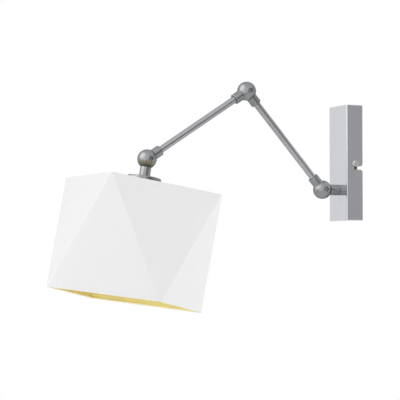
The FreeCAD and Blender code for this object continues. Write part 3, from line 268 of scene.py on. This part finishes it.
# How much of its light the metal gives back at its rims
RIM = (0.42, 0.42, 0.43, 1.0)

FINISHES = {
    "box_metal": solid("box_metal", (0.62, 0.625, 0.655), 0.11, metallic=0.9, patch=22.0,
                       spread=0.025, grain=1800.0, depth=0.000002, wear=(0.50, 0.505, 0.53)),
    "joint_metal": solid("joint_metal", CASTING, 0.35, metallic=1.0, patch=60.0, spread=0.06,
                         grain=1300.0, depth=0.000006, wear=BRIGHT, Specular_Tint=RIM),
    "lower_tube_metal": brushed("lower_tube_metal", TUBING, 0.25, -LOWER_TURN, Specular_Tint=RIM),
    "upper_tube_metal": brushed("upper_tube_metal", TUBING, 0.25, -UPPER_TURN, Specular_Tint=RIM),
    "dull_zinc": solid("dull_zinc", (0.40, 0.40, 0.405), 0.42, metallic=1.0, patch=180.0,
                       spread=0.10),
    "zinc_steel": solid("zinc_steel", (0.68, 0.68, 0.67), 0.28, metallic=1.0, patch=180.0,
                        spread=0.10, wear=(0.85, 0.85, 0.84)),
    "bracket_steel": make_galvanised("bracket_steel"),
    "contact_brass": solid("contact_brass", (0.72, 0.52, 0.22), 0.30, metallic=1.0, patch=160.0,
                           spread=0.12, wear=(0.86, 0.70, 0.38)),
    "grommet_rubber": solid("grommet_rubber", (0.03, 0.03, 0.032), 0.62, spread=0.12),
    "terminal_plastic": solid("terminal_plastic", (0.80, 0.80, 0.76), 0.48, spread=0.03),
    "holder_plastic": solid("holder_plastic", (0.80, 0.80, 0.78), 0.34, spread=0.03, depth=0.00002,
                            wear=(0.88, 0.88, 0.87)),
    "holder_ceramic": solid("holder_ceramic", (0.84, 0.83, 0.80), 0.16, spread=0.03, grain=260.0,
                            Coat_Weight=0.5),
    "lead_sheath": solid("lead_sheath", (0.74, 0.74, 0.72), 0.46, spread=0.04),
    "live_insulation": solid("live_insulation", (0.20, 0.09, 0.045), 0.40, spread=0.06),
    "neutral_insulation": solid("neutral_insulation", (0.05, 0.15, 0.42), 0.40, spread=0.06),
    "earth_insulation": make_striped("earth_insulation", (0.10, 0.36, 0.08), (0.80, 0.68, 0.06)),
    "shade_fabric": make_cloth("shade_fabric", (0.86, 0.86, 0.865)),
    "shade_gold": make_gold_film("shade_gold"),
    "shade_hem": make_cloth("shade_hem", (0.87, 0.87, 0.865)),
    "wire_white": solid("wire_white", (0.82, 0.82, 0.81), 0.35, spread=0.03, depth=0.00004,
                        wear=(0.70, 0.70, 0.70)),
}
# These nodes differ from their slot's own finish: the tubes by the line of their brushing, the
# hinge screws by their duller plating, and the bottom wire by the lining that is turned round it
OWN_FINISH = {
    "lower_arm_tube": "lower_tube_metal",
    "upper_arm_tube": "upper_tube_metal",
    "shoulder_hinge_screw": "dull_zinc",
    "elbow_hinge_screw": "dull_zinc",
    "head_hinge_screw": "dull_zinc",
    "shade_bottom_frame": "shade_gold",
}


def dress_frame():
    """Give every CAD node the finish of its material slot."""
    for part in frame["record"]["subparts"]:
        node = frame["nodes"][part["node"]]
        finish = OWN_FINISH.get(part["node"], part["material_slot"])
        node.data.materials.clear()
        node.data.materials.append(FINISHES[finish])


# Building new pieces

def new_piece(name, mesh, finish, body, *replaced):
    """Add a piece in the row frame that stands for CAD nodes and rides on their body."""
    piece = bpy.data.objects.new(name, mesh)
    bpy.context.scene.collection.objects.link(piece)
    mesh.materials.append(FINISHES[finish])
    if replaced:
        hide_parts(*replaced)
    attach(piece, body)


def grid_mesh(name, rows, uvs=None, sharp=40.0):
    """A closed band of quads: each row is a loop of points, and the last row joins the first.

    uvs has one place more in each row, for the loop's seam.
    """
    mesh = bpy.data.meshes.new(name)
    build = bmesh.new()
    made = [[build.verts.new(point) for point in row] for row in rows]
    layer = build.loops.layers.uv.new("UVMap")
    columns = len(rows[0])
    for number, row in enumerate(made):
        above = made[(number + 1) % len(made)]
        for column in range(columns):
            beside = (column + 1) % columns
            corners = (row[column], row[beside], above[beside], above[column])
            face = build.faces.new(corners)
            face.smooth = True
            if uvs is None:
                continue
            here, there = uvs[number], uvs[min(number + 1, len(rows) - 1)]
            places = (here[column], here[column + 1], there[column + 1], there[column])
            for loop, spot in zip(face.loops, places):
                loop[layer].uv = spot
    bmesh.ops.recalc_face_normals(build, faces=build.faces)
    build.to_mesh(mesh)
    build.free()
    mesh.set_sharp_from_angle(angle=math.radians(sharp))
    return mesh


# Shade, in millimetres along and across the head's own axis

HEAD_TILT = math.radians(9.4)
SHADE_DROP = 45.0
SHADE_HEIGHT = 188.0
SHADE_SIDE = 196.0
CORNER_BLUNT = 1.0
CLOTH = 0.6
FILM = 0.3
HEM = 3.0
HEAD_FRAME = Matrix.Translation(HEAD) @ Matrix.Rotation(math.pi - HEAD_TILT, 4, "X")
LEAN = SHADE_SIDE / math.sqrt(2) - SHADE_SIDE / 2
SLANT = math.hypot(LEAN, SHADE_HEIGHT) / SHADE_HEIGHT
FOLD_RADIUS = 2.6
FOLD_TURN = math.pi / 4
FOLD_SHARE = 0.45
FOLD_STEPS = 4
PANEL_STEPS = 7


def head_point(x, y, height):
    """A point in the row frame, from its place across the head's axis and below the head hinge."""
    return HEAD_FRAME @ (Vector((x, y, height)) * MM)


def shade_section(height, depth):
    """Corner points of the shade's eight-sided section, counted round from the +X side.

    height is measured down from the top edge, and depth inwards from the cover's outer face.
    """
    share = height / SHADE_HEIGHT
    narrow = SHADE_SIDE / 2 - depth * SLANT
    wide = SHADE_SIDE / math.sqrt(2) - depth * SLANT - CORNER_BLUNT
    flat = narrow + (wide - narrow) * share
    slant = wide - (wide - narrow) * share
    half = math.sqrt(2) * slant - flat
    first = [Vector((flat, -half)), Vector((flat, half))]
    corners = []
    for quarter in range(4):
        turn = Matrix.Rotation(quarter * math.pi / 2, 2)
        corners += [turn @ corner for corner in first]
    return corners


def rounded_section(height, depth):
    """The points of the section with its folds rounded."""
    corners = shade_section(height, depth)
    count = len(corners)
    points = []
    for number in range(count):
        before, corner, after = corners[number - 1], corners[number], corners[(number + 1) % count]
        beyond = corners[(number + 2) % count] - after
        entering = corner - before
        leaving = after - corner
        # A fold's arc starts this far before its corner, but takes no more than a share of a panel
        full_cut = (FOLD_RADIUS - depth) * math.tan(FOLD_TURN / 2)
        cut = min(full_cut, entering.length * FOLD_SHARE, leaving.length * FOLD_SHARE)
        next_cut = min(full_cut, leaving.length * FOLD_SHARE, beyond.length * FOLD_SHARE)
        inward = Vector((-entering.y, entering.x)).normalized()
        spoke = -inward * (cut / math.tan(FOLD_TURN / 2))
        centre = corner - entering.normalized() * cut - spoke
        for step in range(FOLD_STEPS + 1):
            points.append(centre + Matrix.Rotation(FOLD_TURN * step / FOLD_STEPS, 2) @ spoke)
        start = points[-1]
        end = after - leaving.normalized() * next_cut
        for step in range(1, PANEL_STEPS):
            points.append(start.lerp(end, step / PANEL_STEPS))
    return points


def shade_band(name, low, high, outer_depth, inner_depth, rows, rim=0):
    """A closed sheet of the shade's form between two heights below its top edge.

    rim is how many steps round the sheet's two edges; with none they stay square.
    """
    levels = [low + (high - low) * row / rows for row in range(rows + 1)]
    middle = (outer_depth + inner_depth) / 2
    half = (inner_depth - outer_depth) / 2
    loops = [(level, outer_depth) for level in levels]
    for step in range(1, rim):
        angle = math.pi * step / rim
        loops.append((high - half + half * math.sin(angle), middle - half * math.cos(angle)))
    loops += [(level, inner_depth) for level in reversed(levels)]
    for step in range(1, rim):
        angle = math.pi * step / rim
        loops.append((low + half - half * math.sin(angle), middle + half * math.cos(angle)))
    points = []
    places = []
    for level, depth in loops:
        section = rounded_section(level, depth)
        points.append([head_point(spot.x, spot.y, SHADE_DROP + level) for spot in section])
        run = 0.0
        spots = []
        for number, spot in enumerate(section):
            spots.append((run * MM, level * SLANT * MM))
            run += (section[(number + 1) % len(section)] - spot).length
        spots.append((run * MM, level * SLANT * MM))
        places.append(spots)
    return grid_mesh(name, points, places)


def make_shade():
    """The cover as one sheet, its lining, and the binding of its two edges."""
    inside = CLOTH + FILM
    hem_line = SHADE_HEIGHT - HEM
    cloth = shade_band("shade_cloth", 0.0, SHADE_HEIGHT, 0.0, CLOTH, 48, rim=4)
    new_piece("shade_cloth", cloth, "shade_fabric", "lamp_head",
              "shade_panels_hanging", "shade_panels_standing")
    film = shade_band("shade_film", HEM, hem_line, CLOTH, inside, 40)
    new_piece("shade_film", film, "shade_gold", "lamp_head", "shade_lining")
    top = shade_band("shade_hem_top", 0.0, HEM, CLOTH, inside, 3, rim=3)
    new_piece("shade_hem_top", top, "shade_hem", "lamp_head", "top_binding")
    bottom = shade_band("shade_hem_bottom", hem_line, SHADE_HEIGHT, CLOTH, inside, 3, rim=3)
    new_piece("shade_hem_bottom", bottom, "shade_gold", "lamp_head", "bottom_binding")


# Lampholder, in millimetres, with its heights measured down from the head hinge

CONTACT_HOLE = 5.0
CUP_RADIUS = 11.3
CUP_GAP = 0.1
SHELL_RADIUS = 13.3
SHELL_SHEET = 0.5
BASE_END = 61.0
CUP_END = 64.0
CONE_END = 67.0
SHELL_END = 85.0
ROLLED_PITCH = 3.6
ROLLED_DEPTH = 0.45
COLLAR_TOP = 52.0
COLLAR_RADIUS = 18.6
FLANGE_RADIUS = 25.0
FLANGE_TOP = 56.5
FLANGE_UNDERSIDE = 59.0
SKIRT_RADIUS = 19.2
SKIRT_WALL = 1.6
SKIRT_END = 97.0
RING_THREAD_DROP = 3.0
RING_THREAD_STOP = 2.0
RING_PITCH = 3.0
RING_DEPTH = 0.7
STEPS_PER_PITCH = 6
STEPS_AROUND = 96


def turned_piece(name, outline, finish, nodes, threads):
    """A turned piece about the head's axis, with screw threads on some of its walls.

    outline is a closed loop of (radius, height) points in millimetres. Each thread is a wall's
    (radius, from, to, pitch, depth), laid on that wall's points as a helix. Its depth is negative
    where it goes towards the axis.
    """
    loop = []
    for number, (radius, height) in enumerate(outline):
        loop.append((radius, height, None))
        end_radius, end_height = outline[(number + 1) % len(outline)]
        for thread in threads:
            wall, low, high, pitch, _ = thread
            spans = min(height, end_height) <= low < high <= max(height, end_height)
            if spans and radius == end_radius == wall:
                steps = max(2, round((high - low) / pitch * STEPS_PER_PITCH))
                levels = [low + (high - low) * step / steps for step in range(steps + 1)]
                if end_height < height:
                    levels.reverse()
                loop += [(radius, level, thread) for level in levels]
    rows = []
    for radius, height, thread in loop:
        row = []
        for step in range(STEPS_AROUND):
            angle = 2 * math.pi * step / STEPS_AROUND
            out = radius
            if thread is not None:
                _, low, high, pitch, depth = thread
                phase = (height - low) / pitch - step / STEPS_AROUND
                fade = min(1.0, (height - low) / pitch, (high - height) / pitch)
                out += depth * fade * (0.5 - 0.5 * math.cos(2 * math.pi * phase))
            row.append(head_point(out * math.cos(angle), out * math.sin(angle), height))
        rows.append(row)
    mesh = grid_mesh(name, rows, sharp=35.0)
    new_piece(name, mesh, finish, "lamp_head", *nodes)


def make_lampholder():
    """The screw shell with its rolled thread, and the skirt with the thread for the shade ring."""
    outer = SHELL_RADIUS + SHELL_SHEET
    cup_outer = CUP_RADIUS + SHELL_SHEET
    cup_floor = BASE_END + SHELL_SHEET
    rolled = (CONE_END + 1.0, SHELL_END - 1.0, ROLLED_PITCH, -ROLLED_DEPTH)
    turned_piece("socket_shell", [
        (CONTACT_HOLE, BASE_END), (cup_outer, BASE_END), (cup_outer, CUP_END), (outer, CONE_END),
        (outer, SHELL_END), (SHELL_RADIUS, SHELL_END), (SHELL_RADIUS, CONE_END),
        (CUP_RADIUS, CUP_END), (CUP_RADIUS, cup_floor), (CONTACT_HOLE, cup_floor),
    ], "contact_brass", ["lampholder_shell"], [(outer, *rolled), (SHELL_RADIUS, *rolled)])
    inner = cup_outer + CUP_GAP
    collar_bore = COLLAR_RADIUS - SKIRT_WALL
    bore = SKIRT_RADIUS - SKIRT_WALL
    turned_piece("socket_skirt", [
        (inner, BASE_END), (collar_bore, BASE_END), (collar_bore, COLLAR_TOP),
        (COLLAR_RADIUS, COLLAR_TOP), (COLLAR_RADIUS, FLANGE_TOP), (FLANGE_RADIUS, FLANGE_TOP),
        (FLANGE_RADIUS, FLANGE_UNDERSIDE), (SKIRT_RADIUS, FLANGE_UNDERSIDE),
        (SKIRT_RADIUS, SKIRT_END), (bore, SKIRT_END), (bore, BASE_END + SKIRT_WALL),
        (inner, BASE_END + SKIRT_WALL),
    ], "holder_plastic", ["lampholder_skirt"], [
        (SKIRT_RADIUS, FLANGE_UNDERSIDE + RING_THREAD_DROP, SKIRT_END - RING_THREAD_STOP,
         RING_PITCH, -RING_DEPTH),
    ])


# Camera, light and floor, in metres

# The view of the photograph: the camera stands to the lamp's +X side, this far round to the front
# and this far below
YAW = math.radians(26.04)
PITCH = math.radians(2.38)
AIM = Vector((-18.4, -288.9, -67.8)) * MM
CAMERA_DISTANCE = 2.6778
FOCAL_LENGTH = 144.0
SENSOR_WIDTH = 36.0
FLOOR_HEIGHT = -0.62
FLOOR_SIZE = 12.0
AMBIENT = 0.42

# Soft lights that face the lamp: name, place, size, power, and whether the lamp's metal mirrors it
LIGHTS = [
    ("low", (0.8, -1.5, -0.56), 0.9, 5.0, True),
    ("key", (-0.1, -2.6, 1.5), 3.0, 45.0, True),
    ("back", (1.3, 2.2, 0.1), 1.8, 48.0, False),
    ("front", (2.6, -1.0, 0.6), 2.6, 9.0, True),
]
# Grey cards that only the lamp's metal mirrors: name, place, normal, size and brightness
CARDS = [
    ("card_right", (2.4, 0.5, -0.05), (-0.95, -0.31, 0), 2.3, 0.08),
    ("card_side", (1.65, 0.78, 0.07), (-0.9, -0.44, -0.04), 0.8, 0.38),
    ("card_back", (0.9, 2.2, 1.0), (-0.3, -0.9, -0.4), 1.6, 0.55),
    ("card_low", (1.2, -1.6, -0.58), (0, 0, 1), 1.6, 0.02),
]


def make_camera():
    """The camera of the photograph."""
    level = math.cos(PITCH)
    back = Vector((math.cos(YAW) * level, -math.sin(YAW) * level, -math.sin(PITCH)))
    camera = bpy.data.objects.new("camera", bpy.data.cameras.new("camera"))
    camera.data.sensor_width = SENSOR_WIDTH
    camera.data.lens = FOCAL_LENGTH
    camera.location = AIM + back * CAMERA_DISTANCE
    camera.rotation_euler = (-back).to_track_quat("-Z", "Y").to_euler()
    bpy.context.scene.collection.objects.link(camera)
    bpy.context.scene.camera = camera


def area_light(name, location, size, power, mirrored):
    """A square soft light that faces the lamp, and that its metal mirrors or not."""
    light = bpy.data.lights.new(name, "AREA")
    light.size = size
    light.energy = power
    piece = bpy.data.objects.new(name, light)
    piece.location = Vector(location)
    piece.rotation_euler = (AIM - piece.location).to_track_quat("-Z", "Y").to_euler()
    piece.visible_glossy = mirrored
    bpy.context.scene.collection.objects.link(piece)


def panel(name, centre, normal, size, material, only_mirrored=False):
    """A flat square of the studio, which isn't part of the lamp.

    With only_mirrored, nothing but mirror-like surfaces shows it.
    """
    mesh = bpy.data.meshes.new(name)
    half = size / 2
    corners = [(-half, -half, 0), (half, -half, 0), (half, half, 0), (-half, half, 0)]
    mesh.from_pydata(corners, [], [(0, 1, 2, 3)])
    mesh.materials.append(material)
    piece = bpy.data.objects.new(name, mesh)
    piece.location = Vector(centre)
    piece.rotation_euler = Vector(normal).to_track_quat("Z", "Y").to_euler()
    bpy.context.scene.collection.objects.link(piece)
    if only_mirrored:
        piece.visible_camera = False
        piece.visible_diffuse = False
        piece.visible_shadow = False
        piece.visible_transmission = False


def card(name, centre, normal, size, level):
    """A card of an even grey, which only mirror-like surfaces show."""
    material, tree, shader = node_tree(name)
    shader.inputs["Base Color"].default_value = (0.0, 0.0, 0.0, 1.0)
    shader.inputs["Emission Color"].default_value = (level, level, level, 1.0)
    shader.inputs["Emission Strength"].default_value = 1.0
    panel(name, centre, normal, size, material, only_mirrored=True)


def white_where_seen(tree, plain, white):
    """Join a plain shader and a white one, which camera, glossy and transmission rays meet."""
    path = add(tree, "ShaderNodeLightPath")
    seen = path.outputs["Is Camera Ray"]
    for ray in ("Is Glossy Ray", "Is Transmission Ray"):
        either = add(tree, "ShaderNodeMath", operation="MAXIMUM")
        tree.links.new(seen, either.inputs[0])
        tree.links.new(path.outputs[ray], either.inputs[1])
        seen = either.outputs["Value"]
    joined = add(tree, "ShaderNodeMixShader")
    tree.links.new(seen, joined.inputs["Fac"])
    tree.links.new(plain, joined.inputs[1])
    tree.links.new(white, joined.inputs[2])
    return joined.outputs["Shader"]


def make_world():
    """Even light from all round, in front of a white background."""
    world = bpy.data.worlds.new("studio")
    bpy.context.scene.world = world
    world.use_nodes = True
    tree = world.node_tree
    tree.nodes.clear()
    ambient = add(tree, "ShaderNodeBackground", Color=(0.985, 0.99, 1.0, 1.0), Strength=AMBIENT)
    white = add(tree, "ShaderNodeBackground", Color=(1.0, 1.0, 1.0, 1.0), Strength=1.0)
    output = add(tree, "ShaderNodeOutputWorld")
    joined = white_where_seen(tree, ambient.outputs["Background"], white.outputs["Background"])
    tree.links.new(joined, output.inputs["Surface"])


def make_floor():
    """A white floor, which is clear from below so that it doesn't hide the lamp there."""
    floor, tree, shader = node_tree("studio_floor")
    shader.inputs["Base Color"].default_value = (0.80, 0.80, 0.80, 1.0)
    shader.inputs["Roughness"].default_value = 0.9
    white = add(tree, "ShaderNodeEmission", Color=(1.0, 1.0, 1.0, 1.0), Strength=1.0)
    output = tree.nodes["Material Output"]
    joined = white_where_seen(tree, shader.outputs["BSDF"], white.outputs["Emission"])
    under = add(tree, "ShaderNodeNewGeometry")
    clear = add(tree, "ShaderNodeBsdfTransparent")
    above_only = add(tree, "ShaderNodeMixShader")
    tree.links.new(under.outputs["Backfacing"], above_only.inputs["Fac"])
    tree.links.new(joined, above_only.inputs[1])
    tree.links.new(clear.outputs["BSDF"], above_only.inputs[2])
    tree.links.new(above_only.outputs["Shader"], output.inputs["Surface"])
    panel("floor", (0, -0.3, FLOOR_HEIGHT), (0, 0, 1), FLOOR_SIZE, floor)


def make_studio():
    """World, floor, cards and lights."""
    make_world()
    make_floor()
    for settings in CARDS:
        card(*settings)
    for settings in LIGHTS:
        area_light(*settings)


bpy.context.scene.view_settings.view_transform = "Standard"
make_camera()
dress_frame()
make_shade()
make_lampholder()
make_studio()
